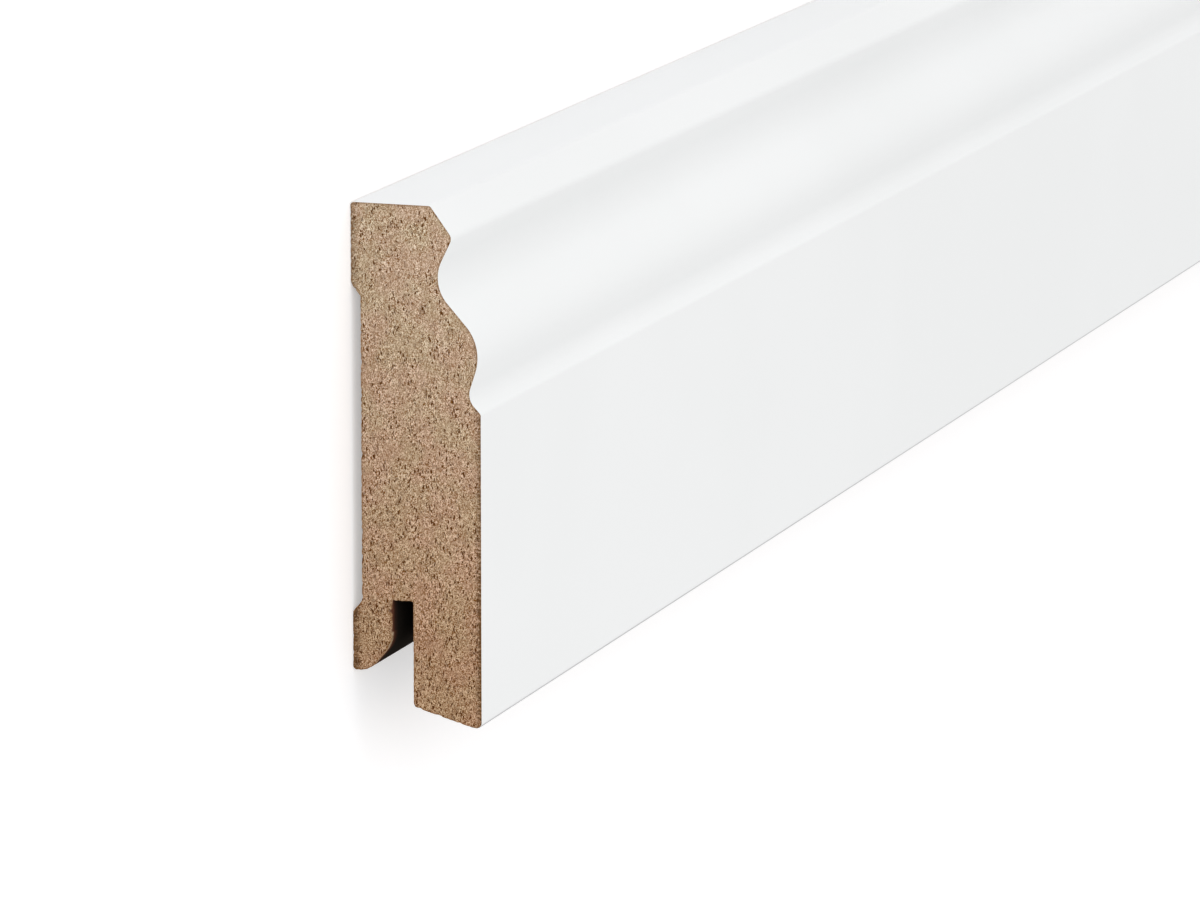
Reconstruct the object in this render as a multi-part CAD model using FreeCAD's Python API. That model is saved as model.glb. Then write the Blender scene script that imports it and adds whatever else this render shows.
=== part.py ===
import FreeCAD, Part
import math
import os

# A length of white faced skirting board, moulded from one board of MDF.
# It lies on its back, as it would lie on a level floor. +X runs along the length,
# +Y runs across the board to its top edge, and +Z comes out of the moulded face.
# The origin is below the middle of the board, on the plane of the wall behind it.
# Sizes are in millimetres.

# The whole board
BOARD_LENGTH = 2400.0
BOARD_HEIGHT = 70.0
BOARD_THICKNESS = 18.2

# Moulded front, from the top edge down. A corner is where two straight runs would
# meet if nothing were rounded. Its depth is how far it lies behind the front face,
# and its drop is how far it lies below the corner above it.
BEVEL_DEPTH = 7.0
NOSE_DEPTH = 3.9
NOSE_DROP = 4.2
COVE_DEPTH = 6.9
COVE_DROP = 6.2
BEAD_PROUD = 0.4
BEAD_DROP = 8.1
NECK_DEPTH = 1.9
NECK_DROP = 7.0
SHOULDER_DROP = 2.0

# Radii of the moulded front
BEVEL_RADIUS = 0.6
NOSE_RADIUS = 1.1
COVE_RADIUS = 5.0
BEAD_RADIUS = 6.3
NECK_RADIUS = 2.3
SHOULDER_RADIUS = 0.6

# Front leg: it stands on its toe, and its underside rises towards the wall
TOE_WIDTH = 1.2
TOE_RADIUS = 0.8
SOLE_RADIUS = 3.0
SOLE_RISE = 2.3
HEEL_RADIUS = 0.8

# Clip slot, cut up into the underside behind the front leg
SLOT_TO_WALL = 5.6
SLOT_WIDTH = 2.95
SLOT_DEPTH = 9.8
SLOT_CORNER_RADIUS = 0.2

# Back leg: it stops short of the floor, and flares away from the slot's mouth
BACK_LEG_RISE = 6.8
FLARE_WIDTH = 3.3
FLARE_DEPTH = 3.9
FLARE_RADIUS = 4.0
LEG_TIP_RADIUS = 3.0
BACK_EDGE_RADIUS = 0.5

# Back relief: the board touches the wall on two pads and is hollow between them
LOWER_PAD_HEIGHT = 7.95
UPPER_PAD_HEIGHT = 11.0
RELIEF_DEPTH = 1.3
RELIEF_SLOPE_HEIGHT = 1.55
RELIEF_RADIUS = 0.4

# The two rounds on one straight run leave at least this share of it straight
STRAIGHT_SHARE = 0.02


def corner(from_wall, above_floor, radius):
    """A corner of the board's section, on its near end, and the radius that rounds it."""
    place = FreeCAD.Vector(-BOARD_LENGTH / 2, above_floor - BOARD_HEIGHT / 2, from_wall)
    return place, radius


def moulded_front():
    """Corners from the top edge down to the plain face: bevel, nose, cove, bead, neck."""
    nose = BOARD_HEIGHT - NOSE_DROP
    cove = nose - COVE_DROP
    bead = cove - BEAD_DROP
    neck = bead - NECK_DROP
    shoulder = neck - SHOULDER_DROP
    return [
        corner(BOARD_THICKNESS - BEVEL_DEPTH, BOARD_HEIGHT, BEVEL_RADIUS),
        corner(BOARD_THICKNESS - NOSE_DEPTH, nose, NOSE_RADIUS),
        corner(BOARD_THICKNESS - COVE_DEPTH, cove, COVE_RADIUS),
        corner(BOARD_THICKNESS + BEAD_PROUD, bead, BEAD_RADIUS),
        corner(BOARD_THICKNESS - NECK_DEPTH, neck, NECK_RADIUS),
        corner(BOARD_THICKNESS, shoulder, SHOULDER_RADIUS),
    ]


def front_leg():
    """Corners round the toe, along the rising sole and up to the heel at the slot."""
    return [
        corner(BOARD_THICKNESS, 0, TOE_RADIUS),
        corner(BOARD_THICKNESS - TOE_WIDTH, 0, SOLE_RADIUS),
        corner(SLOT_TO_WALL + SLOT_WIDTH, SOLE_RISE, HEEL_RADIUS),
    ]


def clip_slot():
    """Corners at the closed end of the slot that holds the wall clips."""
    top = BACK_LEG_RISE + SLOT_DEPTH
    return [
        corner(SLOT_TO_WALL + SLOT_WIDTH, top, SLOT_CORNER_RADIUS),
        corner(SLOT_TO_WALL, top, SLOT_CORNER_RADIUS),
    ]


def back_leg():
    """Corners down the flared mouth of the slot and round the tip of the back leg."""
    return [
        corner(SLOT_TO_WALL, BACK_LEG_RISE + FLARE_DEPTH, FLARE_RADIUS),
        corner(SLOT_TO_WALL - FLARE_WIDTH, BACK_LEG_RISE, LEG_TIP_RADIUS),
        corner(0, BACK_LEG_RISE, BACK_EDGE_RADIUS),
    ]


def relieved_back():
    """Corners up the back: lower pad, shallow hollow, upper pad and top edge."""
    hollow_start = BACK_LEG_RISE + LOWER_PAD_HEIGHT
    hollow_end = BOARD_HEIGHT - UPPER_PAD_HEIGHT
    return [
        corner(0, hollow_start, RELIEF_RADIUS),
        corner(RELIEF_DEPTH, hollow_start + RELIEF_SLOPE_HEIGHT, RELIEF_RADIUS),
        corner(RELIEF_DEPTH, hollow_end - RELIEF_SLOPE_HEIGHT, RELIEF_RADIUS),
        corner(0, hollow_end, RELIEF_RADIUS),
        corner(0, BOARD_HEIGHT, BACK_EDGE_RADIUS),
    ]


def reaches(corners):
    """How far each corner's round reaches along its two runs, limited by their length."""
    count = len(corners)
    wanted = []
    for i, (place, radius) in enumerate(corners):
        back = corners[i - 1][0] - place
        ahead = corners[(i + 1) % count][0] - place
        wanted.append(radius / math.tan(back.getAngle(ahead) / 2))
    limits = [1.0] * count
    for i in range(count):
        after = (i + 1) % count
        run = corners[i][0].distanceToPoint(corners[after][0]) * (1 - STRAIGHT_SHARE)
        share = min(1.0, run / (wanted[i] + wanted[after]))
        limits[i] = min(limits[i], share)
        limits[after] = min(limits[after], share)
    return [reach * limit for reach, limit in zip(wanted, limits)]


def tangent_arc(before, place, after, reach):
    """Start, middle and end of the arc that rounds the corner at place."""
    back = (before - place).normalize()
    ahead = (after - place).normalize()
    half_angle = back.getAngle(ahead) / 2
    radius = reach * math.tan(half_angle)
    inward = (back + ahead).normalize()
    middle = place + inward * (radius / math.sin(half_angle) - radius)
    return place + back * reach, middle, place + ahead * reach


def rounded_outline(corners):
    """The closed outline: an arc at each corner, and a straight run between two arcs."""
    count = len(corners)
    arcs = []
    for i, reach in enumerate(reaches(corners)):
        before, place, after = (corners[j % count][0] for j in (i - 1, i, i + 1))
        arcs.append(tangent_arc(before, place, after, reach))
    edges = []
    for i, (start, middle, end) in enumerate(arcs):
        edges.append(Part.Arc(start, middle, end).toShape())
        edges.append(Part.LineSegment(end, arcs[(i + 1) % count][0]).toShape())
    return Part.Wire(edges)


def skirting_board():
    """The whole board: its section, carried along its length."""
    corners = moulded_front() + front_leg() + clip_slot() + back_leg() + relieved_back()
    section = Part.Face(rounded_outline(corners))
    return section.extrude(FreeCAD.Vector(BOARD_LENGTH, 0, 0))


board = skirting_board()
os.makedirs("parts", exist_ok=True)
board.exportStep("parts/skirting_board.step")

box = board.BoundBox
print("skirting_board", board.ShapeType, "valid", board.isValid())
print(f"  {box.XLength:.1f} x {box.YLength:.1f} x {box.ZLength:.2f} mm")
print(f"  section {board.Volume / BOARD_LENGTH:.1f} mm2, volume {board.Volume / 1e3:.1f} cm3")
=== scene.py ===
# %% [markdown]
# # A length of white skirting board
#
# A skirting board covers the gap between a wall and the floor. This one is milled from a single
# board of MDF, a felt of wood fibre and resin, and the side that is seen has a thin white finish.
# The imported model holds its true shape. This lesson gives it its looks: the felted fibre of the
# sawn ends, the milled back and clip slot, and the satin white of the moulded front.
#
# The board lies on its back. X runs along it, Y runs across it to its top edge, and Z comes out
# of the moulded face. Blender works in metres. The section below is in millimetres.

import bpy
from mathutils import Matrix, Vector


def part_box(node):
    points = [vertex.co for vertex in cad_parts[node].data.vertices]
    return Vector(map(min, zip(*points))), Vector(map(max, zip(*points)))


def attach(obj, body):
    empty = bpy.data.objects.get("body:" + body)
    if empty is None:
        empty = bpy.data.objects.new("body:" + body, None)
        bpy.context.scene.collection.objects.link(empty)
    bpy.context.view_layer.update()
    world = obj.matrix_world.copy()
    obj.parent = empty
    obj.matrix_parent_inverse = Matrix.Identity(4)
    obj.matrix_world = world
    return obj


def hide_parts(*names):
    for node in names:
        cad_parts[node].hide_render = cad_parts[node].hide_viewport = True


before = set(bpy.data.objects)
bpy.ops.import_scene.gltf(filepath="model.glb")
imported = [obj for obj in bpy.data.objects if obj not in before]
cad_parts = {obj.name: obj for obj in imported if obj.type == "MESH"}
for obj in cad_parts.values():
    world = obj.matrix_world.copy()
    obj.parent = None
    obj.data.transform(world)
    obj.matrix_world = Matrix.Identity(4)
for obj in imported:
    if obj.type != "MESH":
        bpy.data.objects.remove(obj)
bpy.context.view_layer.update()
print("packed nodes:", sorted(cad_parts))

# %% Tools for the lesson
import math

import bpy
import numpy as np
from mathutils import Matrix, Vector, geometry, noise

# %% [markdown]
# ## The overall size
#
# Length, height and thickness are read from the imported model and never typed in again, so what
# is made here always fits it. Everything finer is a size of the moulding itself.

# %% Length, height and thickness in millimetres
MM = 0.001
box_low, box_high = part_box("skirting_board")
LENGTH, HEIGHT, THICKNESS = (box_high - box_low) / MM
print(f"board {LENGTH:.1f} x {HEIGHT:.1f} x {THICKNESS:.2f} mm")

# %% [markdown]
# ## The section, corner by corner
#
# A moulder's knife is drawn as straight runs whose corners are rounded. The section is written
# the same way: each corner has its distance from the wall, its height above the floor, and the
# radius that rounds it. That takes far fewer numbers than a traced curve, and each of them can
# be measured on a real board. The corners run along the top, down the front, round the foot and
# up the back.

# %% Moulded front: bevel, nose, cove, bead, neck and shoulder
BEVEL_DEPTH, BEVEL_RADIUS = 7.0, 0.6
NOSE_DEPTH, NOSE_DROP, NOSE_RADIUS = 3.9, 4.2, 1.1
COVE_DEPTH, COVE_DROP, COVE_RADIUS = 6.9, 6.2, 5.0
BEAD_PROUD, BEAD_DROP, BEAD_RADIUS = 0.4, 8.1, 6.3
NECK_DEPTH, NECK_DROP, NECK_RADIUS = 1.9, 7.0, 2.3
SHOULDER_DROP, SHOULDER_RADIUS = 2.0, 0.6

nose = HEIGHT - NOSE_DROP
cove = nose - COVE_DROP
bead = cove - BEAD_DROP
neck = bead - NECK_DROP
moulded_front = [
    (THICKNESS - BEVEL_DEPTH, HEIGHT, BEVEL_RADIUS),
    (THICKNESS - NOSE_DEPTH, nose, NOSE_RADIUS),
    (THICKNESS - COVE_DEPTH, cove, COVE_RADIUS),
    (THICKNESS + BEAD_PROUD, bead, BEAD_RADIUS),
    (THICKNESS - NECK_DEPTH, neck, NECK_RADIUS),
    (THICKNESS, neck - SHOULDER_DROP, SHOULDER_RADIUS),
]

# %% Front leg, clip slot and back leg
TOE_WIDTH, TOE_RADIUS, SOLE_RADIUS = 1.2, 0.8, 3.0
SOLE_RISE, HEEL_RADIUS = 2.3, 0.8
SLOT_TO_WALL, SLOT_WIDTH, SLOT_DEPTH, SLOT_CORNER_RADIUS = 5.6, 2.95, 9.8, 0.2
BACK_LEG_RISE, LEG_TIP_RADIUS, BACK_EDGE_RADIUS = 6.8, 3.0, 0.5
FLARE_WIDTH, FLARE_DEPTH, FLARE_RADIUS = 3.3, 3.9, 4.0

toe = [(THICKNESS, 0.0, TOE_RADIUS), (THICKNESS - TOE_WIDTH, 0.0, SOLE_RADIUS)]
slot_front = SLOT_TO_WALL + SLOT_WIDTH
slot_top = BACK_LEG_RISE + SLOT_DEPTH
slot_and_legs = [
    (slot_front, SOLE_RISE, HEEL_RADIUS),
    (slot_front, slot_top, SLOT_CORNER_RADIUS),
    (SLOT_TO_WALL, slot_top, SLOT_CORNER_RADIUS),
    (SLOT_TO_WALL, BACK_LEG_RISE + FLARE_DEPTH, FLARE_RADIUS),
    (SLOT_TO_WALL - FLARE_WIDTH, BACK_LEG_RISE, LEG_TIP_RADIUS),
    (0.0, BACK_LEG_RISE, BACK_EDGE_RADIUS),
]

# %% Back: two pads that touch the wall, and the shallow hollow between them
LOWER_PAD_HEIGHT, UPPER_PAD_HEIGHT = 7.95, 11.0
HOLLOW_DEPTH, HOLLOW_SLOPE, HOLLOW_RADIUS = 1.3, 1.55, 0.4

hollow_start = BACK_LEG_RISE + LOWER_PAD_HEIGHT
hollow_end = HEIGHT - UPPER_PAD_HEIGHT
hollow_back = [
    (0.0, hollow_start, HOLLOW_RADIUS),
    (HOLLOW_DEPTH, hollow_start + HOLLOW_SLOPE, HOLLOW_RADIUS),
    (HOLLOW_DEPTH, hollow_end - HOLLOW_SLOPE, HOLLOW_RADIUS),
    (0.0, hollow_end, HOLLOW_RADIUS),
]
top_back = [(0.0, HEIGHT, BACK_EDGE_RADIUS)]
section = top_back + moulded_front + toe + slot_and_legs + hollow_back
print("section corners:", len(section))

# %% [markdown]
# ## From corners to an outline
#
# Each corner becomes an arc that touches its two straight runs, as the knife leaves it. Where two
# big rounds share a short run, both give way a little, so they never overlap. Every point keeps
# the direction that faces out of the board there, because the white finish is equally thick
# everywhere and has to be measured square to the surface.

# %% How much of its two runs each round takes up
STRAIGHT_SHARE = 0.02


def unit(vector):
    """The same direction, with a length of one."""
    return vector / np.linalg.norm(vector)


def half_angle(before, place, after):
    """Half of the angle between the two runs that meet at a corner."""
    return math.acos(np.clip(unit(before - place) @ unit(after - place), -1, 1)) / 2


def round_reaches(places, radii):
    """How far each round reaches along its runs, less where two rounds share a short run."""
    count = len(places)
    wanted = []
    for i, radius in enumerate(radii):
        wanted.append(radius / math.tan(half_angle(places[i - 1], places[i], places[(i + 1) % count])))
    limits = [1.0] * count
    for i in range(count):
        after = (i + 1) % count
        run = np.linalg.norm(places[after] - places[i]) * (1 - STRAIGHT_SHARE)
        share = min(1.0, run / (wanted[i] + wanted[after]))
        limits[i] = min(limits[i], share)
        limits[after] = min(limits[after], share)
    return [reach * limit for reach, limit in zip(wanted, limits)]


# %% Points on one round and on one straight run
POINT_STEP = 0.25
ARC_TURN = math.radians(8)


def round_points(before, place, after, reach):
    """Points along the round at one corner, and the outward direction at each."""
    back, ahead = unit(before - place), unit(after - place)
    half = half_angle(before, place, after)
    radius = reach * math.tan(half)
    centre = place + unit(back + ahead) * radius / math.sin(half)
    first_spoke = place + back * reach - centre
    turn = math.pi - 2 * half
    cuts_in = back[0] * ahead[1] - back[1] * ahead[0] < 0
    side = -1 if cuts_in else 1
    steps = max(3, math.ceil(turn / ARC_TURN), math.ceil(radius * turn / POINT_STEP))
    points, outward = [], []
    for k in range(steps + 1):
        c, s = math.cos(turn * k / steps), -side * math.sin(turn * k / steps)
        spoke = np.array([c * first_spoke[0] - s * first_spoke[1], s * first_spoke[0] + c * first_spoke[1]])
        points.append(centre + spoke)
        outward.append(unit(spoke) * side)
    return points, outward


def run_points(start, end):
    """Evenly spaced points on a straight run, without its two ends."""
    pieces = max(1, math.ceil(np.linalg.norm(end - start) / POINT_STEP))
    return [start + (end - start) * k / pieces for k in range(1, pieces)]


# %% The whole outline
def section_outline(corners):
    """Points and outward directions all the way round, and the first and last point of each round."""
    places = [np.array(corner[:2]) for corner in corners]
    reaches = round_reaches(places, [corner[2] for corner in corners])
    count = len(corners)
    rounds = []
    for i, reach in enumerate(reaches):
        rounds.append(round_points(places[i - 1], places[i], places[(i + 1) % count], reach))
    points, outward, spans = [], [], []
    for i, (on_round, out) in enumerate(rounds):
        between = run_points(on_round[-1], rounds[(i + 1) % count][0][0])
        spans.append((len(points), len(points) + len(on_round) - 1))
        points += on_round + between
        outward += out + [out[-1]] * len(between)
    return np.array(points), np.array(outward), spans


outline, outward, spans = section_outline(section)
print("outline points:", len(outline), "from", outline.min(0).round(3), "to", outline.max(0).round(3))

# %% [markdown]
# ## Where the finish lies
#
# The white finish starts on the rounded back corner of the top edge, goes down the moulded front
# and round the toe, and stops a little way under the sole. The MDF lies beneath it, set in by the
# thickness of the finish. Everywhere else the MDF is bare, as the knives left it. A real
# thickness, even one of a twentieth of a millimetre, gives the bright line at the sawn end.

# %% Split the outline into the coated part and the bare part
FINISH_THICKNESS = 0.05
BOND_GAP = 0.005

sole_corner = len(top_back + moulded_front + toe) - 1
first_coated = sum(spans[0]) // 2
last_coated = spans[sole_corner][1]
coated = np.arange(first_coated, last_coated + 1)
bare = np.arange(last_coated, len(outline) + first_coated + 1) % len(outline)

under_finish = outline[coated] - outward[coated] * (FINISH_THICKNESS + BOND_GAP)
core_outline = np.vstack([under_finish, outline[bare]])
core_outward = np.vstack([outward[coated], outward[bare]])
core_is_bare = np.arange(len(core_outline)) >= len(coated)
print("coated points:", len(coated), "bare points:", len(bare))

# %% Which points of the outline lie inside the clip slot
HEEL, LEG_TIP = sole_corner + 1, sole_corner + 5


def share_in_slot():
    """For each outline point 1 inside the slot, falling to 0 over the heel and the leg tip."""
    index = np.arange(len(outline))
    enters = (index - spans[HEEL][0]) / (spans[HEEL][1] - spans[HEEL][0])
    leaves = (spans[LEG_TIP][1] - index) / (spans[LEG_TIP][1] - spans[LEG_TIP][0])
    return np.clip(enters, 0, 1) * np.clip(leaves, 0, 1)


in_slot = np.concatenate([np.zeros(len(coated)), share_in_slot()[bare]])
print("points in the slot:", int((in_slot > 0.5).sum()))

# %% [markdown]
# ## Rings along the board
#
# The board is the same all the way along, so a few rings of points are enough for its length.
# They crowd together at both sawn ends, where the edges are worn and chipped within the last
# half millimetre, and spread out in between.

# %% Distances of the rings from each end
END_RINGS = [0.0, 0.22, 0.5, 1.0, 2.5, 6.0, 15.0, 40.0, 100.0, 250.0, 600.0]

ring_x = [-LENGTH / 2 + d for d in END_RINGS] + [0.0] + [LENGTH / 2 - d for d in reversed(END_RINGS)]
print("rings along the board:", len(ring_x))


def to_metres(x, points):
    """Places in metres of section points, at a place x along the board."""
    x = np.broadcast_to(x, len(points))
    return np.column_stack([x, points[:, 1] - HEIGHT / 2, points[:, 0]]) * MM


# %% [markdown]
# ## The sawn end
#
# A saw leaves MDF with a short felted pile: fibre bundles stand up, small pits lie between them,
# and the bare edges break away in crumbs. A bump map could fake the pile, but not the outline of
# the edges, and it vanishes when the mesh is measured or printed. So the end is a real relief: a
# fine mesh of scattered points, each pressed in by a depth that comes from noise. The fibre of MDF
# settles flat before it is pressed, so on the end its traces are longer up the board than across.

# %% Depth of the relief at any place on the end
RECESS = 0.02
PILE_DEPTH, PILE_SIZE = 0.05, 0.40
PIT_DEPTH, PIT_SIZE = 0.10, 0.36
PIT_FROM, PIT_FULL = 0.41, 0.55
LAID = Vector((1.0, 0.62, 1.15))
PIT_PLACE = Vector((7, 3, 5))


def smooth_step(value, low, high):
    """0 below low, 1 above high, and a smooth rise between."""
    t = min(1.0, max(0.0, (value - low) / (high - low)))
    return t * t * (3 - 2 * t)


def end_relief(from_wall, above_floor, seed):
    """How deep the end is pressed in at one place, in millimetres, and how much of that is a pit."""
    place = Vector((seed, above_floor, from_wall)) * LAID
    pile = noise.noise(place / PILE_SIZE)
    pit = smooth_step(noise.noise(place / PIT_SIZE + PIT_PLACE), PIT_FROM, PIT_FULL)
    return RECESS + PILE_DEPTH * (0.5 - 0.5 * pile) + PIT_DEPTH * pit, pit


# %% Crumbled edges
CHIP_DEPTH, CHIP_SIZE, CHIP_SHARPNESS = 0.36, 0.70, 1.5
FINE_CHIP_DEPTH, FINE_CHIP_SIZE = 0.10, 0.28
SLOT_FRONT_CHIPS, SLOT_BACK_CHIPS, FLARE_CHIPS = 0.25, 3.6, 0.6
COATED_CHIP = 0.015


def chip_strengths():
    """How much each outline point crumbles: little on the slot's front wall, most on its back wall."""
    heel, top_front, top_back, flare, leg_tip = spans[HEEL:LEG_TIP + 1]
    stops = [heel[0], heel[1], top_front[1], top_back[0], flare[0], flare[1], leg_tip[1]]
    strengths = [1, SLOT_FRONT_CHIPS, SLOT_FRONT_CHIPS, SLOT_BACK_CHIPS, SLOT_BACK_CHIPS, FLARE_CHIPS, 1]
    strength = np.interp(np.arange(len(outline)), stops, strengths)
    return np.concatenate([np.ones(len(coated)), strength[bare]])


def chip_depths(seed):
    """How far each outline point is set in at the end, where the edge has crumbled."""
    depths = []
    for point, is_bare, strength in zip(core_outline, core_is_bare, chip_strengths()):
        place = Vector((seed, point[1], point[0]))
        big = max(0.0, noise.noise(place / CHIP_SIZE)) ** CHIP_SHARPNESS * CHIP_DEPTH
        fine = max(0.0, noise.noise(place / FINE_CHIP_SIZE))
        chip = (big + fine * FINE_CHIP_DEPTH) * strength
        depths.append(chip if is_bare else fine * COATED_CHIP)
    return np.array(depths)


# %% Scattered points inside an outline
GRID_STEP, GRID_JITTER, EDGE_CLEARANCE = 0.18, 0.3, 0.12


def inside(points, loop):
    """True for each point that lies inside the closed loop."""
    x, y = points[:, 0][:, None], points[:, 1][:, None]
    x0, y0 = loop[:, 0], loop[:, 1]
    x1, y1 = np.roll(x0, -1), np.roll(y0, -1)
    crosses = (y0 > y) != (y1 > y)
    with np.errstate(divide="ignore", invalid="ignore"):
        at = x0 + (y - y0) * (x1 - x0) / (y1 - y0)
    return (crosses & (x < at)).sum(1) % 2 == 1


def edge_distance(points, loop):
    """Distance of each point from the nearest point of the loop."""
    return np.array([np.linalg.norm(loop - point, axis=1).min() for point in points])


def scatter(loop, seed):
    """Scattered points inside the loop, clear of its edge."""
    random = np.random.default_rng(seed)
    across = np.arange(loop[:, 0].min(), loop[:, 0].max(), GRID_STEP)
    up = np.arange(loop[:, 1].min(), loop[:, 1].max(), GRID_STEP)
    grid = np.array(np.meshgrid(across, up)).reshape(2, -1).T
    grid += random.uniform(-GRID_JITTER, GRID_JITTER, grid.shape) * GRID_STEP
    grid = grid[inside(grid, loop)]
    return grid[edge_distance(grid, loop) > EDGE_CLEARANCE]


# %% Triangles between the scattered points and the outline
INSIDE_ONLY, MERGE_BELOW = 1, 1e-6


def fill_end(loop, seed):
    """Points inside the loop, and triangles over all points: the loop's first, then those inside."""
    inner = scatter(loop, seed)
    points = [Vector(p) for p in np.vstack([loop, inner])]
    edge = [list(range(len(loop)))]
    _, _, triangles, origins, *_ = geometry.delaunay_2d_cdt(points, [], edge, INSIDE_ONLY, MERGE_BELOW)
    return inner, [[origins[i][0] for i in triangle] for triangle in triangles]


NEAR_SEED, FAR_SEED = 11, 23


def sawn_end(seed):
    """One sawn end: its crumbled loop, the points inside it, their triangles, depths and pits."""
    chips = chip_depths(seed)
    loop = core_outline - core_outward * chips[:, None]
    inner, triangles = fill_end(loop, seed)
    points = np.vstack([loop, inner])
    depth, pit = np.array([end_relief(*point, seed) for point in points]).T
    end = {"chips": chips, "loop": loop, "inner": inner, "points": points}
    return end | {"triangles": triangles, "depth": depth, "pit": pit}


near, far = sawn_end(NEAR_SEED), sawn_end(FAR_SEED)
print("triangles on the two ends:", len(near["triangles"]), len(far["triangles"]))

# %% [markdown]
# ## The MDF board
#
# The board itself is one closed mesh: its rings are joined by strips of faces, and the two sawn
# ends close it. The crumbs at an end are less than half as deep on the next ring and gone on the
# one after, so a chip is a small scoop and not a groove along the whole board.

# %% Points of the board, ring by ring, and then those on the two ends
CHIP_FADE = [1.0, 0.45, 0.0]


def board_points():
    """All points of the board in metres: the rings in order, then the points inside each end."""
    count, rings = len(core_outline), []
    for i, x in enumerate(ring_x):
        from_far = len(ring_x) - 1 - i
        end, steps_in = (near, i) if i < from_far else (far, from_far)
        fade = CHIP_FADE[steps_in] if steps_in < len(CHIP_FADE) else 0.0
        ring = core_outline - core_outward * (end["chips"] * fade)[:, None]
        if steps_in == 0:
            x = x + math.copysign(1, -x) * end["depth"][:count]
        rings.append(to_metres(x, ring))
    for end, x in ((near, ring_x[0]), (far, ring_x[-1])):
        depth = end["depth"][count:] * math.copysign(1, -x)
        rings.append(to_metres(x + depth, end["inner"]))
    return np.vstack(rings)


board_co = board_points()
print("board points:", len(board_co))

# %% Faces of the board
def strip_faces(rings, count):
    """Four sided faces that join rings of points, each closed, facing outwards."""
    faces = []
    for i in range(rings - 1):
        here, there = i * count, (i + 1) * count
        for j in range(count):
            k = (j + 1) % count
            faces.append((here + j, here + k, there + k, there + j))
    return faces


def end_faces(triangles, count, ring_start, inner_start, turned):
    """Triangles of one end, from the numbers within it to the numbers of the whole mesh."""
    faces = []
    for triangle in triangles:
        face = [ring_start + i if i < count else inner_start + i - count for i in triangle]
        faces.append(tuple(face[::-1] if turned else face))
    return faces


count, rings = len(core_outline), len(ring_x)
last_ring, inner_start = (rings - 1) * count, rings * count
far_inner_start = inner_start + len(near["inner"])
side_faces = strip_faces(rings, count)
near_faces = end_faces(near["triangles"], count, 0, inner_start, False)
far_faces = end_faces(far["triangles"], count, last_ring, far_inner_start, True)
print("board faces:", len(side_faces), "along it,", len(near_faces) + len(far_faces), "on its ends")

# %% [markdown]
# ## A map for the board's surface
#
# A flat map of the surface lets the finish be painted onto an image later. Left to itself, such a
# map would follow the board's great length and leave the sawn ends a few pixels wide. So the map
# is laid out here: each end gets a quarter of it, at its true proportions, and the long sides
# share the rest, squeezed along their length where they hardly change.

# %% Lay out the map of the board
MAP_NAME = "OFBake"
MAP_MARGIN, HIDDEN_SHARE = 0.012, 0.05
MAP_SPAN = 1 - 2 * MAP_MARGIN

end_scale = MAP_SPAN / HEIGHT
end_width = THICKNESS * end_scale
sides_left = 3 * MAP_MARGIN + 2 * end_width


def stretch_along(points, weights):
    """How far round the loop each point lies, from 0 to 1, with one more value to close it."""
    steps = np.linalg.norm(np.roll(points, -1, axis=0) - points, axis=1) * weights
    return np.concatenate([[0], np.cumsum(steps)]) / steps.sum()


def map_sides(faces, count, share, xs, left, right):
    """Places on the map for the corners of the faces along the board, ring by ring."""
    places = []
    for face in faces:
        ring, j = divmod(face[0], count)
        for step, row in ((0, ring), (1, ring), (1, ring + 1), (0, ring + 1)):
            along = (xs[row] + LENGTH / 2) / LENGTH
            places.append((left + share[j + step] * (right - left), MAP_MARGIN + along * MAP_SPAN))
    return places


def map_end(co, left):
    """Place on the map of a point on a sawn end, from its place in metres."""
    from_wall, above_floor = co[2] / MM, co[1] / MM + HEIGHT / 2
    return left + from_wall * end_scale, MAP_MARGIN + above_floor * end_scale


def board_map():
    """Place on the map for every corner of every face, in the order of the faces."""
    share = stretch_along(core_outline, np.where(core_is_bare, 1.0, HIDDEN_SHARE))
    places = map_sides(side_faces, count, share, ring_x, sides_left, 1 - MAP_MARGIN)
    for faces, left in ((near_faces, MAP_MARGIN), (far_faces, 2 * MAP_MARGIN + end_width)):
        places += [map_end(board_co[i], left) for face in faces for i in face]
    return np.array(places)


# %% Build a mesh from points, faces, a map and edges to keep sharp
def build_mesh(name, points, faces, places, pairs):
    """A smooth shaded object with its map, crisp along the given pairs of points."""
    mesh = bpy.data.meshes.new(name)
    mesh.from_pydata(points.tolist(), [], faces)
    mesh.uv_layers.new(name=MAP_NAME).data.foreach_set("uv", places.astype(np.float32).ravel())
    mesh.polygons.foreach_set("use_smooth", np.ones(len(faces), bool))
    pairs = {frozenset(pair) for pair in pairs}
    crisp = [frozenset(edge.vertices) in pairs for edge in mesh.edges]
    mesh.attributes.new("sharp_edge", "BOOLEAN", "EDGE").data.foreach_set("value", crisp)
    mesh.validate()
    piece = bpy.data.objects.new(name, mesh)
    bpy.context.scene.collection.objects.link(piece)
    return piece


def crisp_pairs(count, rings, columns):
    """Neighbours round the first and last ring, and along the board at some points of the outline."""
    pairs = []
    for first in (0, (rings - 1) * count):
        pairs += [(first + j, first + (j + 1) % count) for j in range(count)]
    for column in columns:
        pairs += [(i * count + column, (i + 1) * count + column) for i in range(rings - 1)]
    return pairs


board_crisp = crisp_pairs(count, rings, (0, len(coated) - 1, len(coated), count - 1))
mdf_board = build_mesh("mdf_board", board_co, side_faces + near_faces + far_faces, board_map(), board_crisp)
print("mdf_board:", len(mdf_board.data.polygons), "faces")

# %% Note the pits on the mesh, and the rim: 1 at the edge of a sawn end, 0 at RIM_REACH from it
RIM_REACH = 1.0

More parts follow.
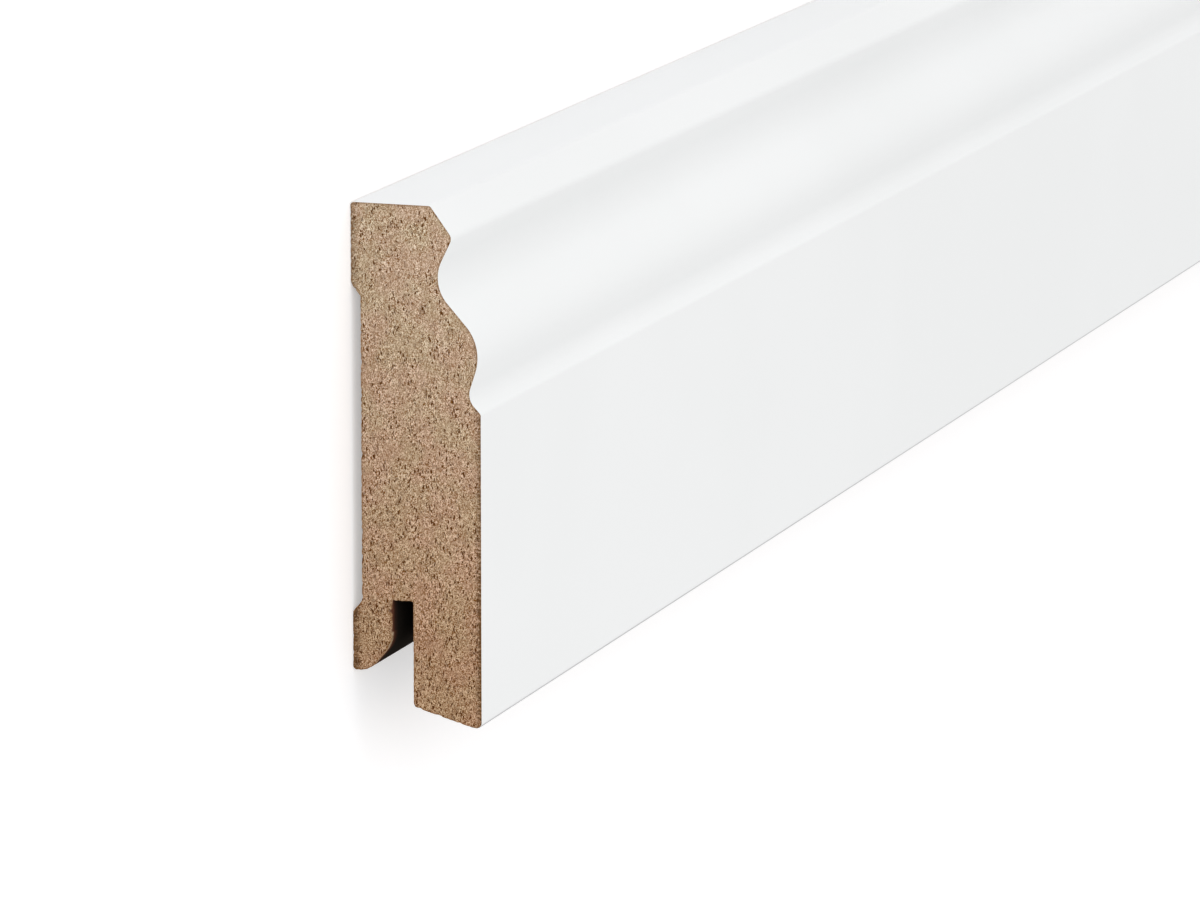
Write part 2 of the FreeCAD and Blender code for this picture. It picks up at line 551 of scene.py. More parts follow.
pit_values, rim_values = np.zeros(len(board_co)), np.zeros(len(board_co))
for end, ring_start, start in ((near, 0, inner_start), (far, last_ring, far_inner_start)):
    numbers = np.r_[ring_start:ring_start + count, start:start + len(end["inner"])]
    pit_values[numbers] = end["pit"]
    rim_values[numbers] = np.clip(1 - edge_distance(end["points"], end["loop"]) / RIM_REACH, 0, 1)
print("points in a pit:", int((pit_values > 0.5).sum()))

# %% [markdown]
# The clip slot is cut by a thin saw, and hardly any light reaches into it. Its walls get painted
# shade, far darker than the rest of the board. The mesh notes how much painted shade each point
# gets: red brown near the cut end and nearly black from two and a half millimetres in. The flared
# mouth gets painted shade as well: it keeps the board's own brown at the cut and darkens over the
# same distance.

# %% Note how much painted shade the slot's walls and mouth get
SLOT_SHADE_ON_WALLS = [0.25, 0.42, 0.56, 0.76, 1.0]
SLOT_SHADE_ON_FLARE = [0.0, 0.10, 0.30, 0.60, 1.0]

bare_on_flare = (bare >= spans[LEG_TIP - 1][0]) & (bare <= spans[LEG_TIP][1])
on_flare = np.concatenate([np.zeros(len(coated), bool), bare_on_flare])
# Painted shade for the slot: 0 outside it, rising to 1 deep inside.
slot_shade_values = np.zeros(len(board_co))
for i in range(rings):
    step = min(i, rings - 1 - i, len(SLOT_SHADE_ON_WALLS) - 1)
    fade = np.where(on_flare, SLOT_SHADE_ON_FLARE[step], SLOT_SHADE_ON_WALLS[step])
    slot_shade_values[i * count:(i + 1) * count] = in_slot * fade
for name, values in (("pit", pit_values), ("rim", rim_values), ("slot_shade", slot_shade_values)):
    mdf_board.data.attributes.new(name, "FLOAT", "POINT").data.foreach_set("value", values)
print("points painted_dark by more than half:", int((slot_shade_values > 0.5).sum()))

# %% [markdown]
# ## The white finish
#
# The finish is a thin white layer over the moulded front. It is built as a closed shell: its
# outer side is the board's outline, its inner side lies on the MDF, and at the sawn ends its cut
# edge shows. That edge is eased by a few hundredths of a millimetre and slightly nicked, as a saw
# leaves it, which is why it catches the light as a fine bright line.

# %% Points and faces of the finish
CUT_EASE, NICK_DEPTH, NICK_SIZE = 0.015, 0.03, 0.5

finish_inner = outline[coated] - outward[coated] * FINISH_THICKNESS
finish_loop = np.vstack([outline[coated], finish_inner[::-1]])
coated_count = len(coated)


def finish_ring(x, seed):
    """One ring of the finish. A seed marks a sawn end, where the cut edge is eased and nicked."""
    loop = finish_loop.copy()
    if seed:
        for j in range(coated_count):
            nick = max(0.0, noise.noise(Vector((seed, *finish_loop[j])) / NICK_SIZE)) * NICK_DEPTH
            loop[j] -= outward[coated[j]] * (CUT_EASE + nick)
    return to_metres(x, loop)


finish_x = ring_x[:1] + [ring_x[0] + 2 * CUT_EASE] + ring_x[1:-1] + [ring_x[-1] - 2 * CUT_EASE] + ring_x[-1:]
finish_seeds = [NEAR_SEED] + [0] * (len(finish_x) - 2) + [FAR_SEED]
finish_co = np.vstack([finish_ring(x, seed) for x, seed in zip(finish_x, finish_seeds)])
finish_count = 2 * coated_count
finish_sides = strip_faces(len(finish_x), finish_count)


def cut_edge_faces(first, turned):
    """Faces of the finish's cut edge, between its outer and inner points."""
    faces = []
    for j in range(coated_count - 1):
        face = (first + j, first + finish_count - 1 - j, first + finish_count - 2 - j, first + j + 1)
        faces.append(face[::-1] if turned else face)
    return faces


finish_edges = cut_edge_faces(0, False) + cut_edge_faces((len(finish_x) - 1) * finish_count, True)
print("finish faces:", len(finish_sides), "and", len(finish_edges), "on its cut edges")

# %% Map and mesh of the finish
OUTER_RIGHT = 0.90


def finish_map():
    """The outer side of the finish takes most of the map, and its inner side and cut edges the rest."""
    weights = np.where(np.arange(finish_count) < coated_count, 1.0, HIDDEN_SHARE)
    share = stretch_along(finish_loop, weights)
    places = map_sides(finish_sides, finish_count, share, finish_x, MAP_MARGIN, OUTER_RIGHT)
    for end, faces in enumerate((finish_edges[:coated_count - 1], finish_edges[coated_count - 1:])):
        left = OUTER_RIGHT + MAP_MARGIN * (1 + 3 * end)
        for face in faces:
            for i in face:
                j = i % finish_count
                is_inner = j >= coated_count
                along = (finish_count - 1 - j if is_inner else j) / coated_count
                places.append((left + is_inner * MAP_MARGIN, MAP_MARGIN + along * MAP_SPAN))
    return np.array(places)


finish_crisp = crisp_pairs(finish_count, len(finish_x), (0, coated_count - 1, coated_count, finish_count - 1))
white_finish = build_mesh("white_finish", finish_co, finish_sides + finish_edges, finish_map(), finish_crisp)
print("white_finish:", len(white_finish.data.polygons), "faces")

# %% [markdown]
# ## Effects that several materials share
#
# A shader node group is a small tool that is built once and placed wherever it is needed, each
# time with its own values. Both kinds of MDF surface show the same fibre, only at another length
# and in other strengths, and every surface drifts a little in tone over a few centimetres.

# %% Helpers that place nodes
NOISE_SPAN = (0.3, 0.7)


def put(tree, kind, values=None, **settings):
    """A new node with its settings, each input given a value or joined to another node's output."""
    node = tree.nodes.new(kind)
    for name, setting in settings.items():
        setattr(node, name, setting)
    for name, value in (values or {}).items():
        if isinstance(value, bpy.types.NodeSocket):
            tree.links.new(value, node.inputs[name])
        else:
            node.inputs[name].default_value = value
    return node


def maths(tree, operation, *values):
    """The result of one arithmetic step."""
    return put(tree, "ShaderNodeMath", dict(enumerate(values)), operation=operation).outputs[0]


def ramp(tree, value, start, end, low=0.0, high=1.0):
    """A value that goes smoothly from low to high while its input goes from start to end."""
    values = {"Value": value, "From Min": start, "From Max": end, "To Min": low, "To Max": high}
    return put(tree, "ShaderNodeMapRange", values, interpolation_type="SMOOTHSTEP").outputs[0]


def mix_colours(tree, amount, first, second, blend="MIX"):
    """Two colours mixed. Inputs 0, 6 and 7 of the Mix node are its factor and its two colours."""
    values = {0: amount, 6: first, 7: second}
    return put(tree, "ShaderNodeMix", values, data_type="RGBA", blend_type=blend).outputs[2]


def tinted(tree, tone, tint):
    """The tone multiplied by a tint close to white."""
    return mix_colours(tree, 1.0, tone, tint, "MULTIPLY")


def stretch(tree, place, factors):
    """A place with each of its three directions scaled by its own factor."""
    return put(tree, "ShaderNodeVectorMath", {0: place, 1: factors}, operation="MULTIPLY").outputs[0]


def coordinate(tree, place, axis):
    """One of the three numbers of a place."""
    return put(tree, "ShaderNodeSeparateXYZ", {0: place}).outputs[axis]


def soft_noise(tree, place, scale, detail, roughness=0.5):
    """Noise around one half, in clouds about 1 / scale wide. It seldom leaves NOISE_SPAN."""
    values = {"Vector": place, "Scale": scale, "Detail": detail, "Roughness": roughness}
    return put(tree, "ShaderNodeTexNoise", values).outputs[0]


def new_group(name, inputs, outputs):
    """An empty node group, its inputs and its outputs. An input is a place or a number."""
    group = bpy.data.node_groups.new(name, "ShaderNodeTree")
    for label, value in inputs.items():
        kind = "NodeSocketVector" if isinstance(value, tuple) else "NodeSocketFloat"
        group.interface.new_socket(name=label, in_out="INPUT", socket_type=kind).default_value = value
    for label in outputs:
        group.interface.new_socket(name=label, in_out="OUTPUT", socket_type="NodeSocketFloat")
    return group, group.nodes.new("NodeGroupInput").outputs, group.nodes.new("NodeGroupOutput").inputs


def place_group(tree, group, values):
    """A group placed in a material with its own values."""
    return put(tree, "ShaderNodeGroup", values, node_tree=group).outputs


# %% [markdown]
# ### Fibre flecks
#
# MDF is made of wood fibre steamed into short threads that lie every way. Cut, it shows pale
# threads and dark gaps between them, each a tenth to a third of a millimetre wide. Noise stretched
# in one direction looks like threads that all lie one way, so the group lays three such noises
# over each other, each turned by a third of a half circle, and keeps the palest and the darkest.

# %% Build the group of fibre flecks
FLECK_TURNS, FIRST_TURN, FLECK_SOFTNESS = 3, 0.3, 0.1


def build_fibre_flecks():
    """Masks of pale and dark threads that lie every way in the plane square to Axis."""
    inputs = {"Place": (0, 0, 0), "Axis": (1, 0, 0), "Thread Length": 1.0, "Thread Width": 0.3, "Rarity": 0.6}
    group, given, result = new_group("Fibre flecks", inputs, ["Pale", "Dark"])
    width, length = given["Thread Width"], given["Thread Length"]
    size = put(group, "ShaderNodeCombineXYZ", {0: width, 1: length, 2: width}).outputs[0]
    full = maths(group, "ADD", given["Rarity"], FLECK_SOFTNESS)
    pale, dark = None, None
    for k in range(FLECK_TURNS):
        angle = math.pi * k / FLECK_TURNS + FIRST_TURN
        turn = {"Vector": given["Place"], "Axis": given["Axis"], "Angle": angle}
        turned = put(group, "ShaderNodeVectorRotate", turn).outputs[0]
        scaled = put(group, "ShaderNodeVectorMath", {0: turned, 1: size}, operation="DIVIDE").outputs[0]
        threads = soft_noise(group, scaled, 1.0, 1.0)
        more_pale = ramp(group, threads, given["Rarity"], full)
        more_dark = ramp(group, maths(group, "SUBTRACT", 1.0, threads), given["Rarity"], full)
        pale = maths(group, "MAXIMUM", pale, more_pale) if pale else more_pale
        dark = maths(group, "MAXIMUM", dark, more_dark) if dark else more_dark
    group.links.new(pale, result["Pale"])
    group.links.new(dark, result["Dark"])
    return group


fibre_flecks = build_fibre_flecks()
print("group:", fibre_flecks.name, "with", len(fibre_flecks.nodes), "nodes")

# %% [markdown]
# ### Specks
#
# Here and there a scrap of bark shows as a dark speck, and a cut bundle of fibre as a pale one.
# A cell pattern gives every speck its own place, and only a share of the cells gets one. A little
# noise on its radius keeps a speck from being a perfect dot.

# %% Build the group of specks
WOBBLE, SPECK_CORE = 1.5, 0.7


def build_specks():
    """A mask of single specks. Spacing and Size are in millimetres, Share is from 0 to 1."""
    inputs = {"Place": (0, 0, 0), "Spacing": 1.0, "Size": 0.3, "Share": 0.3}
    group, given, result = new_group("Specks", inputs, ["Mask"])
    per_mm = maths(group, "DIVIDE", 1.0, given["Spacing"])
    cells = put(group, "ShaderNodeTexVoronoi", {"Vector": given["Place"], "Scale": per_mm}).outputs
    wobble = soft_noise(group, given["Place"], maths(group, "DIVIDE", WOBBLE, given["Size"]), 1.0)
    radius = maths(group, "MULTIPLY", given["Size"], maths(group, "MULTIPLY", per_mm, wobble))
    speck = ramp(group, cells["Distance"], radius, maths(group, "MULTIPLY", radius, SPECK_CORE))
    chance = put(group, "ShaderNodeTexWhiteNoise", {"Vector": cells["Color"]}).outputs["Value"]
    chosen = maths(group, "LESS_THAN", chance, given["Share"])
    group.links.new(maths(group, "MULTIPLY", speck, chosen), result["Mask"])
    return group


specks = build_specks()
print("group:", specks.name, "with", len(specks.nodes), "nodes")

# %% [markdown]
# ### Slow drift
#
# No real surface has one even tone. Boards differ by a few parts in a hundred over some
# centimetres, from the pressing of the MDF or the hand that sprayed the finish. The group gives a
# soft value around zero, and each material says how large and how strong its drift is.

# %% Build the group of slow drift
def build_slow_drift():
    """A soft value from about -1 to 1 that changes over the given size, in millimetres."""
    group, given, result = new_group("Slow drift", {"Place": (0, 0, 0), "Size": 30.0}, ["Drift"])
    cloud = soft_noise(group, given["Place"], maths(group, "DIVIDE", 1.0, given["Size"]), 2.0)
    group.links.new(ramp(group, cloud, *NOISE_SPAN, -1.0, 1.0), result["Drift"])
    return group


slow_drift = build_slow_drift()
print("group:", slow_drift.name, "with", len(slow_drift.nodes), "nodes")


# %% Helpers that start and finish a material
def new_material(name):
    """A material with its shader, and the place on the board in millimetres."""
    material = bpy.data.materials.new(name)
    material.use_nodes = True
    tree = material.node_tree
    where = put(tree, "ShaderNodeTexCoord").outputs["Object"]
    return material, tree, tree.nodes["Principled BSDF"], stretch(tree, where, (1 / MM, 1 / MM, 1 / MM))


def noted(tree, name):
    """A value that the mesh notes at its points."""
    return put(tree, "ShaderNodeAttribute", attribute_name=name).outputs["Fac"]


def drift_over(tree, place, size):
    """The slow drift over the given size in millimetres."""
    return place_group(tree, slow_drift, {"Place": place, "Size": size})["Drift"]


def join_to_shader(tree, shader, tone, height, depth, roughness):
    """Colour, relief and roughness joined to the shader. The relief's depth is in metres."""
    relief = {"Height": height, "Distance": depth, "Strength": 1.0}
    bump = put(tree, "ShaderNodeBump", relief).outputs[0]
    for name, value in (("Base Color", tone), ("Normal", bump), ("Roughness", roughness)):
        tree.links.new(value, shader.inputs[name])


def dress(piece, first, second, first_count):
    """Two materials on a piece: the first on its first faces, the second on the rest."""
    piece.data.materials.append(first)
    piece.data.materials.append(second)
    is_second = np.arange(len(piece.data.polygons)) >= first_count
    piece.data.polygons.foreach_set("material_index", is_second.astype(np.int32))
    print(piece.name, "has", [material.name for material in piece.data.materials])


# %% [markdown]
# ## Sawn MDF
#
# The sawn end is the part of the board that a buyer looks at first. Its brown is the average of
# countless pale threads and dark gaps, a little darker and denser where the board's faces were
# pressed hardest. Lively patches with crowded dark specks take turns with calm ones, and the felt
# grows livelier towards the foot. Painted shade makes the end darker and warmer at the legs and
# lighter towards the top. Each pit is a hollow in the relief of the mesh and also gets painted
# shade, so that each painted shadow has its hole.

# %% Colours of the MDF
MDF_DEEP, MDF_MID = (0.205, 0.088, 0.020, 1), (0.455, 0.303, 0.190, 1)
MDF_PALE = (0.82, 0.655, 0.480, 1)
# The darkest brown serves bark scraps and gaps, and painted shade in the pits.
MDF_THREAD, MDF_BARK_AND_PIT_SHADE = (0.88, 0.71, 0.55, 1), (0.105, 0.036, 0.005, 1)
MDF_WARM, MDF_COOL = (1.025, 0.985, 0.985, 1), (0.980, 1.005, 0.955, 1)
MDF_SKIN = (0.125, 0.062, 0.026, 1)
# Painted shade by height: darker and warmer at the legs, lighter towards the top.
PAINTED_SHADE_AT_LEGS, PAINTED_SHADE_ABOVE_LEGS = (0.855, 0.730, 0.640, 1), (0.910, 0.790, 0.710, 1)
PAINTED_LIGHT_TOWARDS_TOP = (1.115, 1.150, 1.195, 1)

# %% Tints of the MDF: one that drifts, and painted shade that follows the height above the foot
FOOT, TOP = -HEIGHT / 2, HEIGHT / 2
LEGS_END, FACE_STARTS = FOOT + 11, FOOT + 19


def drifting_tint(tree, place, size):
    """A tint that drifts between cool and warm over the given size in millimetres."""
    return mix_colours(tree, ramp(tree, drift_over(tree, place, size), -1, 1), MDF_COOL, MDF_WARM)


def painted_shade_by_height(tree, across):
    """Painted shade: darkest and warmest at the legs, lighter towards the top."""
    low = mix_colours(tree, ramp(tree, across, LEGS_END, FACE_STARTS), PAINTED_SHADE_AT_LEGS, PAINTED_SHADE_ABOVE_LEGS)
    return mix_colours(tree, ramp(tree, across, FOOT, TOP), low, PAINTED_LIGHT_TOWARDS_TOP)


# %% Dense skins of the pressed board
FRONT_SKIN_DEPTH, WALL_SKIN_DEPTH = 1.15, 1.45
SKIN_COMB = (1.0, 3.2, 1.3)
SKIN_STROKES = (0.42, 0.58, 0.2, 1.0)
SKIN_AT_TOP, SKIN_AT_FOOT = 0.65, 1.30


def add_skins(tree, place, across, tone):
    """The tone, darker in short strokes just under the two faces that the press touched."""
    from_wall = coordinate(tree, place, "Z")
    near_front = ramp(tree, from_wall, THICKNESS - FRONT_SKIN_DEPTH, THICKNESS)
    near_wall = ramp(tree, from_wall, WALL_SKIN_DEPTH, 0.0)
    skin = maths(tree, "MAXIMUM", near_front, near_wall)
    strokes = soft_noise(tree, stretch(tree, place, SKIN_COMB), 1.0, 1.0)
    amount = maths(tree, "MULTIPLY", skin, ramp(tree, strokes, *SKIN_STROKES))
    by_height = ramp(tree, across, TOP, FOOT, SKIN_AT_TOP, SKIN_AT_FOOT)
    amount = maths(tree, "MINIMUM", maths(tree, "MULTIPLY", amount, by_height), 1.0)
    return mix_colours(tree, amount, tone, MDF_SKIN)


# %% Scraps of bark, cut bundles of fibre, and gaps between them
# Each has its spacing, its size, and four values: where the felt counts as calm and as lively, and
# the share of the cells that get a speck at each.
BARK = (0.31, 0.26, (0.40, 0.62, 0.04, 0.24))
BUNDLES = (0.30, 0.19, (0.38, 0.62, 0.14, 0.46))
GAPS = (0.36, 0.29, (0.42, 0.60, 0.03, 0.30))
GAP_STRETCH, PIT_SHADE = (1.0, 0.70, 1.0), (0.25, 0.85, 0.0, 0.35)


def scattered(tree, place, busy, spacing, size, shares):
    """A mask of specks, more of them where the felt is lively."""
    values = {"Place": place, "Spacing": spacing, "Size": size, "Share": ramp(tree, busy, *shares)}
    return place_group(tree, specks, values)["Mask"]


def add_specks(tree, place, busy, tone):
    """The tone with pale bundles, with dark scraps and gaps, and with painted shade in the pits."""
    tone = mix_colours(tree, scattered(tree, place, busy, *BUNDLES), tone, MDF_THREAD)
    bark = scattered(tree, place, busy, *BARK)
    gaps = scattered(tree, stretch(tree, place, GAP_STRETCH), busy, *GAPS)
    # Painted shade in the pits of the relief.
    pits = ramp(tree, noted(tree, "pit"), *PIT_SHADE)
    dark = maths(tree, "MAXIMUM", maths(tree, "MAXIMUM", bark, gaps), pits)
    return mix_colours(tree, dark, tone, MDF_BARK_AND_PIT_SHADE)


# %% How lively the felt is
BUSY_STRETCH, BUSY_SCALE = (1.0, 0.45, 1.3), 0.60
BUSIER_AT_TOP, BUSIER_AT_FOOT = -0.035, 0.10


def busyness(tree, place, across):
    """A value around 0.5, higher where the felt is lively and towards the foot."""
    cloud = soft_noise(tree, stretch(tree, place, BUSY_STRETCH), BUSY_SCALE, 2.0)
    return maths(tree, "ADD", cloud, ramp(tree, across, TOP, FOOT, BUSIER_AT_TOP, BUSIER_AT_FOOT))


# %% Threads of both MDF surfaces
ALONG_BOARD, OUT_OF_FACE = (1, 0, 0), (0, 0, 1)
SAWN_THREADS = {"Axis": ALONG_BOARD, "Thread Length": 0.36, "Thread Width": 0.10, "Rarity": 0.64}
MILLED_THREADS = {"Axis": OUT_OF_FACE, "Thread Length": 1.6, "Thread Width": 0.3, "Rarity": 0.66}


def add_threads(tree, threads, dark, pale, tone):
    """The tone with dark and pale threads, each in its own strength."""
    tone = mix_colours(tree, maths(tree, "MULTIPLY", threads["Dark"], dark), tone, MDF_DEEP)
    return mix_colours(tree, maths(tree, "MULTIPLY", threads["Pale"], pale), tone, MDF_THREAD)


# %% Material of the sawn ends
SPECKLE_SCALE, SPECKLE_CONTRAST = 11.0, (0.38, 0.62, 0.62, 1.0)
PALE_SPECKLE, DARK_SPECKLE = (0.50, 0.61), (0.50, 0.39)
SAWN_DRIFT, SAWN_RELIEF = 4.5, 0.00008
RIM_SHADE = (0.6, 1.0, 0.0, 0.5)


def make_sawn_mdf():
    """Felted brown with threads, specks, painted shade in the pits and by height, dense skins and a darker
    rim.
    """
    material, tree, shader, place = new_material("sawn_mdf")
    across, laid = coordinate(tree, place, "Y"), stretch(tree, place, LAID)
    busy = busyness(tree, place, across)
    contrast = ramp(tree, busy, *SPECKLE_CONTRAST)
    speckle = soft_noise(tree, laid, SPECKLE_SCALE, 0.0)
    tone = mix_colours(tree, ramp(tree, speckle, *PALE_SPECKLE, 0.0, contrast), MDF_MID, MDF_PALE)
    tone = mix_colours(tree, ramp(tree, speckle, *DARK_SPECKLE, 0.0, contrast), tone, MDF_DEEP)
    threads = place_group(tree, fibre_flecks, {"Place": laid, **SAWN_THREADS})
    tone = add_threads(tree, threads, 0.7, 0.7, tone)
    tone = add_specks(tree, laid, busy, tone)
    tone = tinted(tree, tone, drifting_tint(tree, place, SAWN_DRIFT))
    # Painted shade by height: darker at the legs, lighter towards the top.
    tone = tinted(tree, tone, painted_shade_by_height(tree, across))
    tone = add_skins(tree, place, across, tone)
    tone = mix_colours(tree, ramp(tree, noted(tree, "rim"), *RIM_SHADE), tone, MDF_DEEP)
    height = maths(tree, "ADD", speckle, maths(tree, "MULTIPLY", threads["Pale"], 0.3))
    roughness = ramp(tree, speckle, *NOISE_SPAN, 0.92, 0.8)
    join_to_shader(tree, shader, tone, height, SAWN_RELIEF, roughness)
    shader.inputs["Specular IOR Level"].default_value = 0.12
    return material


sawn_mdf = make_sawn_mdf()
print("material:", sawn_mdf.name, "with", len(sawn_mdf.node_tree.nodes), "nodes")

# %% [markdown]
# ## Milled MDF
#
# Knives leave the back, the legs and the slot smoother than a saw does. The threads are cut flat,
# and each knife stroke leaves a faint ripple across the board.

# %% Painted shade on the walls and mouth of the slot
MDF_SLOT_SHADE_AT_CUT, MDF_SLOT_SHADE_DEEP = (0.125, 0.045, 0.026, 1), (0.027, 0.022, 0.018, 1)


def add_slot_shade(tree, tone):
    """The tone with painted shade: red brown at first, then nearly black."""
    slot_shade = noted(tree, "slot_shade")
    tone = mix_colours(tree, ramp(tree, slot_shade, 0.0, 0.5), tone, MDF_SLOT_SHADE_AT_CUT)
    return mix_colours(tree, ramp(tree, slot_shade, 0.4, 1.0), tone, MDF_SLOT_SHADE_DEEP)


# %% Material of the milled surfaces
MILLED_SCALE, MILLED_DRIFT, MILLED_RELIEF = 2.2, 45.0, 0.00005
RIPPLE_PITCH, RIPPLE_WAVER, RIPPLE_SHARE = 1.6, 0.4, 0.25


def make_milled_mdf():
    """Smooth brown with flat threads, faint ripples and painted shade inside the slot."""
    material, tree, shader, place = new_material("milled_mdf")
    speckle = soft_noise(tree, place, MILLED_SCALE, 3.0, 0.6)
    tone = mix_colours(tree, ramp(tree, speckle, *NOISE_SPAN), MDF_DEEP, MDF_PALE)
    tone = mix_colours(tree, 0.5, tone, MDF_MID)
    threads = place_group(tree, fibre_flecks, {"Place": place, **MILLED_THREADS})
    tone = add_threads(tree, threads, 0.6, 0.5, tone)
    tone = tinted(tree, tone, drifting_tint(tree, place, MILLED_DRIFT))
    # Painted shade inside the slot and its flared mouth.
    tone = add_slot_shade(tree, tone)
    wave = {"Vector": place, "Scale": 1 / (RIPPLE_PITCH * math.pi), "Distortion": RIPPLE_WAVER}
    ripple = put(tree, "ShaderNodeTexWave", wave).outputs["Fac"]
    height = maths(tree, "ADD", speckle, maths(tree, "MULTIPLY", ripple, RIPPLE_SHARE))
    roughness = ramp(tree, speckle, *NOISE_SPAN, 0.85, 0.7)
    join_to_shader(tree, shader, tone, height, MILLED_RELIEF, roughness)
    shader.inputs["Specular IOR Level"].default_value = 0.0
    return material


dress(mdf_board, make_milled_mdf(), sawn_mdf, len(side_faces))

# %% [markdown]
# ## Satin white
#
# The finish is a cool white with a satin sheen. From close by it has the very fine, soft orange
# peel of sprayed lacquer, and its tone drifts by about one part in a hundred. Along the toe runs a
# fine grey line of painted shadow, the contact shadow of the board standing on the floor once fitted.

# %% Material of the finish
WHITE_LOW, WHITE_HIGH = (0.870, 0.880, 0.880, 1), (0.888, 0.897, 0.898, 1)
# A fine line of painted shadow along the toe: full near the toe, gone a little above it.
TOE_PAINTED_SHADOW, TOE_SHADOW_FULL, TOE_SHADOW_FADED = (0.38, 0.38, 0.385, 1), 0.32, 0.65
PEEL_SIZE, PEEL_SHARE, WAVE_SIZE, WHITE_DRIFT = 1.1, 0.15, 14.0, 60.0
WHITE_RELIEF = 0.00002


def make_satin_white():
    """Satin white with a soft orange peel, and a painted shadow line along the toe."""
    material, tree, shader, place = new_material("satin_white")
    drift = drift_over(tree, place, WHITE_DRIFT)
    tone = mix_colours(tree, ramp(tree, drift, -1, 1), WHITE_LOW, WHITE_HIGH)
    above_toe = maths(tree, "ADD", coordinate(tree, place, "Y"), HEIGHT / 2)
    # Painted shadow along the toe.
    tone = mix_colours(tree, ramp(tree, above_toe, TOE_SHADOW_FADED, TOE_SHADOW_FULL), tone, TOE_PAINTED_SHADOW)
    peel = maths(tree, "MULTIPLY", soft_noise(tree, place, 1 / PEEL_SIZE, 1.0), PEEL_SHARE)
    height = maths(tree, "ADD", peel, drift_over(tree, place, WAVE_SIZE))
    join_to_shader(tree, shader, tone, height, WHITE_RELIEF, ramp(tree, drift, -1, 1, 0.40, 0.46))
    return material


# %% Material of the finish's cut edge
CUT_LOW, CUT_HIGH = (0.93, 0.90, 0.86, 1), (0.97, 0.95, 0.92, 1)
GRIT_SCALE = 4.0


def make_cut_white():
    """The fresh cut edge: chalky, a little warmer and brighter than the satin side."""
    material, tree, shader, place = new_material("cut_white")
    grit = soft_noise(tree, place, GRIT_SCALE, 2.0)
    tone = mix_colours(tree, ramp(tree, grit, 0.35, 0.65), CUT_LOW, CUT_HIGH)
    join_to_shader(tree, shader, tone, grit, WHITE_RELIEF, ramp(tree, grit, *NOISE_SPAN, 0.75, 0.9))
    return material


dress(white_finish, make_satin_white(), make_cut_white(), len(finish_sides))

# %% Attach the two pieces to the root body, and hide the imported board
for piece, slot in ((mdf_board, "raw_mdf"), (white_finish, "white_finish")):
    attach(piece, "root")
    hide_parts("skirting_board")
print("pieces:", mdf_board.name, white_finish.name)

# %% [markdown]
# ## Floor and background
#
# The board lies on a plain pale floor that reaches past every view. The floor takes part in the
# light like any pale surface. Only where the camera looks at it does it glow a little as well, so
# that it reads as white paper and still keeps the shadow beside the board.

# %% Floor
FLOOR_SIZE, FLOOR_DROP = 90.0, 0.00005
FLOOR_COLOUR, FLOOR_GLOW = (0.77, 0.77, 0.78, 1), 0.39


def seen_directly(tree):
    """1 for rays from the camera, from a reflection or through glass, and 0 for those that carry light."""
    path = put(tree, "ShaderNodeLightPath").outputs
    seen = maths(tree, "MAXIMUM", path["Is Camera Ray"], path["Is Glossy Ray"])
    return maths(tree, "MAXIMUM", seen, path["Is Transmission Ray"])


def make_floor():
    """A very large plate just under the board."""
    half = FLOOR_SIZE / 2
    corners = [(-half, -half, 0), (half, -half, 0), (half, half, 0), (-half, half, 0)]
    mesh = bpy.data.meshes.new("floor")
    mesh.from_pydata(corners, [], [(0, 1, 2, 3)])
    plate = bpy.data.objects.new("floor", mesh)
    plate.location.z = -FLOOR_DROP
    bpy.context.scene.collection.objects.link(plate)
    material = bpy.data.materials.new("floor_paper")
    material.use_nodes = True
    tree = material.node_tree
    tree.nodes.remove(tree.nodes["Principled BSDF"])
    paper = put(tree, "ShaderNodeBsdfDiffuse", {"Color": FLOOR_COLOUR}).outputs[0]
    strength = maths(tree, "MULTIPLY", seen_directly(tree), FLOOR_GLOW)
    glow = put(tree, "ShaderNodeEmission", {"Strength": strength}).outputs[0]
    both = put(tree, "ShaderNodeAddShader", {0: paper, 1: glow}).outputs[0]
    tree.links.new(both, tree.nodes["Material Output"].inputs["Surface"])
    mesh.materials.append(material)
    return plate


make_floor()

# %% [markdown]
# ## Soft studio light
#
# A white object shows its shape only through small differences, so the light is almost even: a
# pale surround from everywhere, and two soft lamps. The large one stands beyond the top edge. Its
# light runs down the front, so what faces the top edge is a little brighter and each step throws a
# soft band. The small one stands before the near end and brings out its relief.

# %% Surround and lamps
SURROUND_LEVEL = 0.880
TOP_LAMP = {"place": (-0.3, 2.35, 0.50), "size": 1.3, "level": 0.130}
END_LAMP = {"place": (-1.05, 0.35, 0.60), "size": 0.6, "level": 0.15}
LIT_SPOT = Vector((-LENGTH / 2, 0, THICKNESS / 2)) * MM


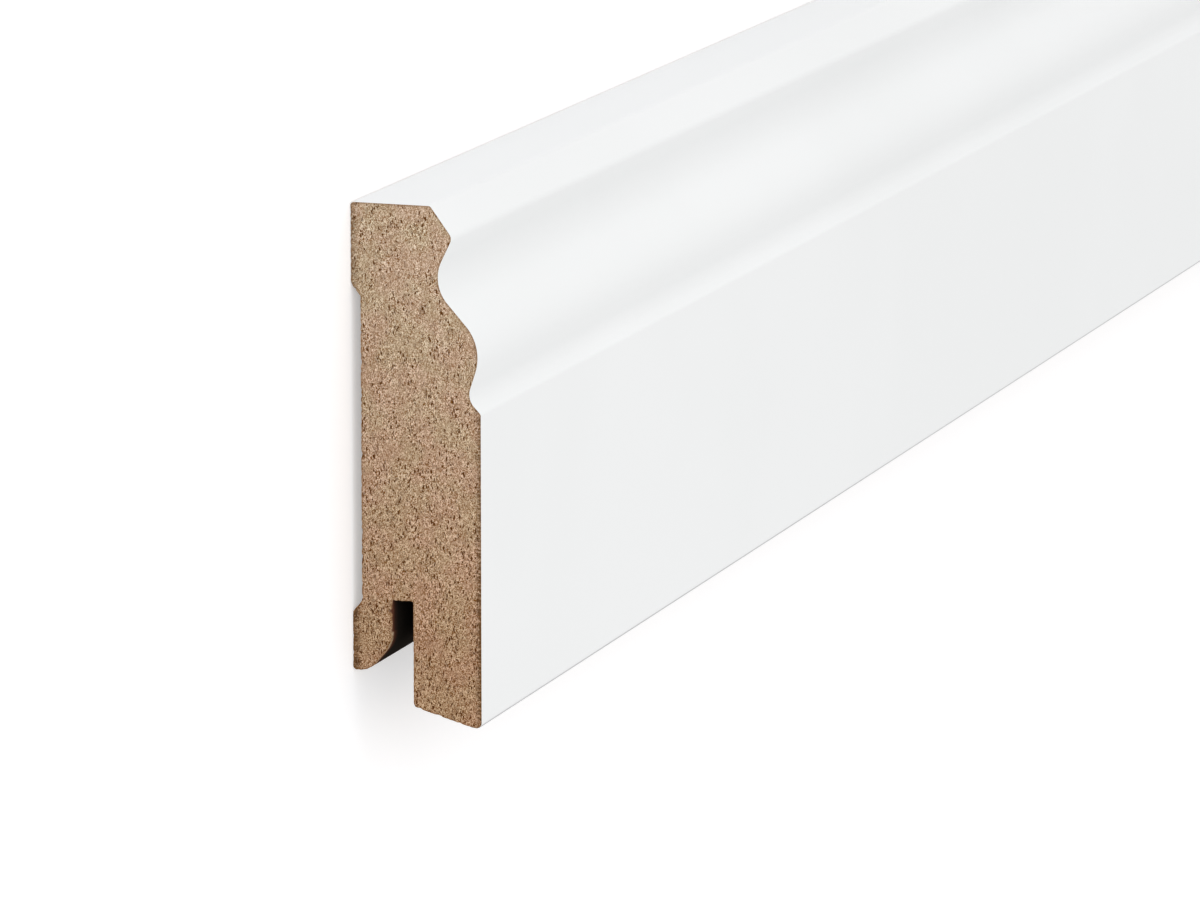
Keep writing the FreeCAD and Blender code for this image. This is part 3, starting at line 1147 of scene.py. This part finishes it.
def make_surround():
    """An even pale surround, pure white where it is seen directly."""
    world = bpy.data.worlds.new("studio")
    world.use_nodes = True
    tree = world.node_tree
    background = tree.nodes["Background"].inputs
    background["Color"].default_value = (1, 1, 1, 1)
    tree.links.new(ramp(tree, seen_directly(tree), 0, 1, SURROUND_LEVEL, 1.0), background["Strength"])
    bpy.context.scene.world = world


def make_lamp(name, place, size, level):
    """A square soft lamp aimed at the near end. Its level is what it adds to white facing it there."""
    place = Vector(place)
    light = bpy.data.lights.new(name, "AREA")
    light.shape, light.size = "SQUARE", size
    light.energy = level * math.pi ** 2 * place.length_squared
    lamp = bpy.data.objects.new(name, light)
    lamp.location = LIT_SPOT + place
    lamp.rotation_mode = "QUATERNION"
    lamp.rotation_quaternion = place.to_track_quat("Z", "Y")
    lamp.visible_camera = False
    bpy.context.scene.collection.objects.link(lamp)
    print(f"{name}: {light.energy:.2f} W at {place.length:.1f} m")


make_surround()
make_lamp("top_lamp", **TOP_LAMP)
make_lamp("end_lamp", **END_LAMP)

# %% [markdown]
# ## Camera
#
# The camera looks along the board at its near sawn end through a long lens, so the length hardly
# tapers. It is turned with the board: the top edge points up in the picture, although the board
# lies on its back. Three angles and a distance say where it stands.

# %% Camera
LENS, SENSOR = 228.0, 36.0
YAW, PITCH = math.radians(18.703), math.radians(11.147)
CAMERA_BEFORE_END, CAMERA_TO_TOP, CAMERA_ABOVE_WALL = 926.04, 196.45, 348.24

forward = Vector((math.cos(PITCH) * math.cos(YAW), -math.sin(PITCH), -math.cos(PITCH) * math.sin(YAW)))
right = Vector((math.sin(YAW), 0, math.cos(YAW)))
up = right.cross(forward)
lens = bpy.data.cameras.new("camera")
lens.lens, lens.sensor_width = LENS, SENSOR
camera = bpy.data.objects.new("camera", lens)
axes = Matrix((right, up, -forward)).transposed()
spot = Vector((-LENGTH / 2 - CAMERA_BEFORE_END, CAMERA_TO_TOP, CAMERA_ABOVE_WALL)) * MM
camera.matrix_world = Matrix.Translation(spot) @ axes.to_4x4()
bpy.context.scene.collection.objects.link(camera)
bpy.context.scene.camera = camera
bpy.context.scene.view_settings.view_transform = "Standard"
print("camera at", [round(c, 4) for c in spot])
